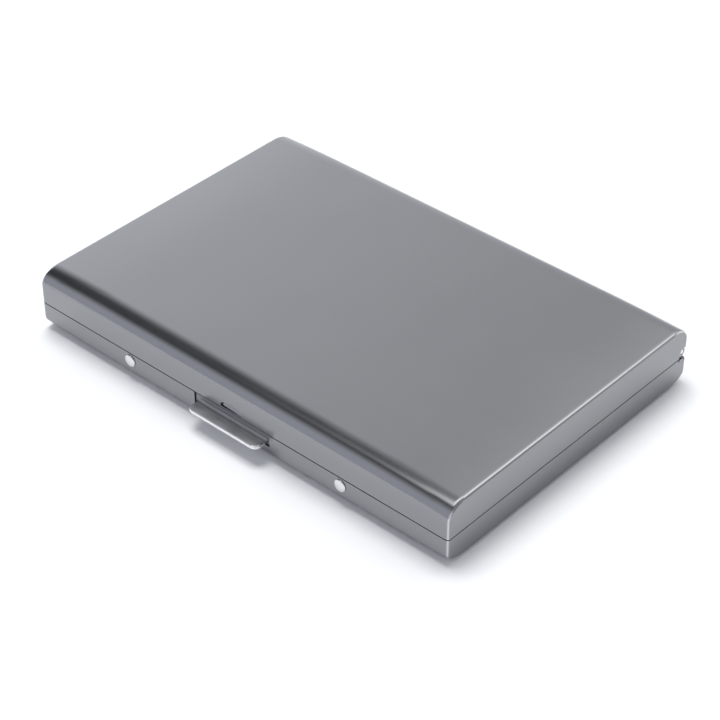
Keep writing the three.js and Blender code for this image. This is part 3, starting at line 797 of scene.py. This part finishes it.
def grained_board():
    """Black pebble-grained plastic, a little shinier on its raised grain."""
    finish = Finish(bpy.data.materials.new("grained_board"))
    place = finish.add("ShaderNodeTexCoord", output="Object")
    warp = finish.add("ShaderNodeTexNoise", values={"Vector": place, "Scale": 900, "Detail": 1},
                      output="Color")
    bent = finish.add("ShaderNodeMix", {"data_type": "VECTOR"}, {0: 0.0006, 4: place, 5: warp}, output=1)
    pebbles = finish.add("ShaderNodeTexVoronoi", {"feature": "F1"}, {"Vector": bent, "Scale": 1400})
    clouds = finish.add("ShaderNodeTexNoise", values={"Vector": place, "Scale": 90, "Detail": 3})
    height = 1 - finish.step(pebbles, 0.15, 0.75)
    bump = finish.add("ShaderNodeBump", values={"Strength": 0.5, "Distance": 0.00008, "Height": height})
    tone = height * 0.5 + clouds * 0.5
    finish.feed(finish.tree.nodes["Principled BSDF"], {
        "Base Color": finish.mix(tone, (0.010, 0.0105, 0.0115, 1), (0.030, 0.031, 0.034, 1)),
        "Roughness": 0.58 - height * 0.16,
        "Normal": bump,
    })
    return finish.owner


board_finish = grained_board()
boards = []
for k in range(POCKETS + 1):
    node = "base_board" if k == 0 else "lid_board" if k == POCKETS else f"divider_{k}"
    low, high = node_box(node)
    boards.append((node, low, high))
    board = block(low, high)
    corners = [e for e in board.edges if all(abs(v.co.y - low.y) < NEAR for v in e.verts)
               and abs(e.verts[0].co.z - e.verts[1].co.z) > 0.1]
    bevel(board, corners, BOARD_CORNER, 10)
    thumb = [rod(THUMB_RADIUS, (0, low.y, low.z - CUT), (0, low.y, high.z + CUT), segments=96)]
    cuts = thumb if 0 < k < POCKETS else []
    name = {"base_board": "base_card_board", "lid_board": "lid_card_board"}.get(node, f"card_{node}")
    piece = make_piece(board, name, board_finish, cuts=cuts, eased=0.12, steps=3)
    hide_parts(node)
    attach(piece, {"base_board": "base"}.get(node, node))

# ---------- Pocket films ----------
# Thin black film joins each board to the next: a gusset folded inwards at both ends of every pocket and
# a bulging spine at its back.

FILM = 0.15
GUSSET_DEPTH = 7.0
GUSSET_EDGE = 0.3
GUSSET_FRONT = BOARD_CORNER + 1.2
FOLD_RADIUS = 0.12
SPINE_BULGE = 0.8
GLUED = 0.05


def creased_film():
    """Black polypropylene film, faintly milky where it is creased, with a light haze over it."""
    finish = Finish(bpy.data.materials.new("creased_film"))
    place = finish.add("ShaderNodeTexCoord", output="Object")
    haze = finish.add("ShaderNodeTexNoise", values={"Vector": place, "Scale": 260, "Detail": 3})
    frost = finish.add("ShaderNodeTexNoise", values={"Vector": place, "Scale": 5200, "Detail": 1})
    bump = finish.add("ShaderNodeBump", values={"Strength": 0.3, "Distance": 0.00003, "Height": frost})
    finish.feed(finish.tree.nodes["Principled BSDF"], {
        "Base Color": finish.mix(haze, (0.010, 0.010, 0.012, 1), (0.026, 0.026, 0.029, 1)),
        "Roughness": 0.42 + (haze - 0.5) * 0.2,
        "Normal": bump,
    })
    return finish.owner


def film_along(start, end, cuts, path, rows):
    """A film: an edge from start to end, drawn out row by row along a path of offsets."""
    bm = bmesh.new()
    bm.edges.new([bm.verts.new(start), bm.verts.new(end)])
    bmesh.ops.subdivide_edges(bm, edges=bm.edges[:], cuts=cuts)
    rim = bm.edges[:]
    for row in range(rows):
        drawn = bmesh.ops.extrude_edge_only(bm, edges=rim)["geom"]
        verts = [v for v in drawn if isinstance(v, bmesh.types.BMVert)]
        rim = [e for e in drawn if isinstance(e, bmesh.types.BMEdge) and all(v in verts for v in e.verts)]
        bmesh.ops.translate(bm, vec=path((row + 1) / rows) - path(row / rows), verts=verts)
    return bm


film_finish = creased_film()
for k in range(1, POCKETS + 1):
    (lower, _, below), (upper, above, corner) = boards[k - 1], boards[k]
    bodies = ["base" if lower == "base_board" else lower, upper]
    foot = below.z + GLUED + FILM / 2
    rise = above.z - below.z - 2 * GLUED - FILM

    def gusset_path(share):
        depth = GUSSET_DEPTH * (1 - sqrt((2 * share - 1) ** 2 + FOLD_RADIUS ** 2)) / (1 - FOLD_RADIUS)
        return Vector((-depth, 0, rise * share))

    def spine_path(share):
        return Vector((0, (SPINE_BULGE - FILM) * sin(pi * share) ** 0.7, rise * share))

    edge_x = corner.x - GUSSET_EDGE
    films = []
    for side, way in ((1, "right"), (-1, "left")):
        film = film_along((edge_x, above.y + GUSSET_FRONT, foot), (edge_x, corner.y - GUSSET_EDGE, foot),
                          23, gusset_path, 24)
        if side < 0:
            bmesh.ops.scale(film, vec=(-1, 1, 1), verts=film.verts)
        films.append((film, f"film_gusset_{way}_{k}", f"gusset_{way}_{k}"))
    seam_y = corner.y + GLUED + FILM / 2
    spine = film_along((-edge_x, seam_y, foot), (edge_x, seam_y, foot), 31, spine_path, 12)
    films.append((spine, f"film_spine_{k}", f"spine_fold_{k}"))
    for film, name, node in films:
        piece = make_piece(film, name, film_finish, wall=FILM, wall_side=0, eased=0)
        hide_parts(node)
        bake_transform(piece)
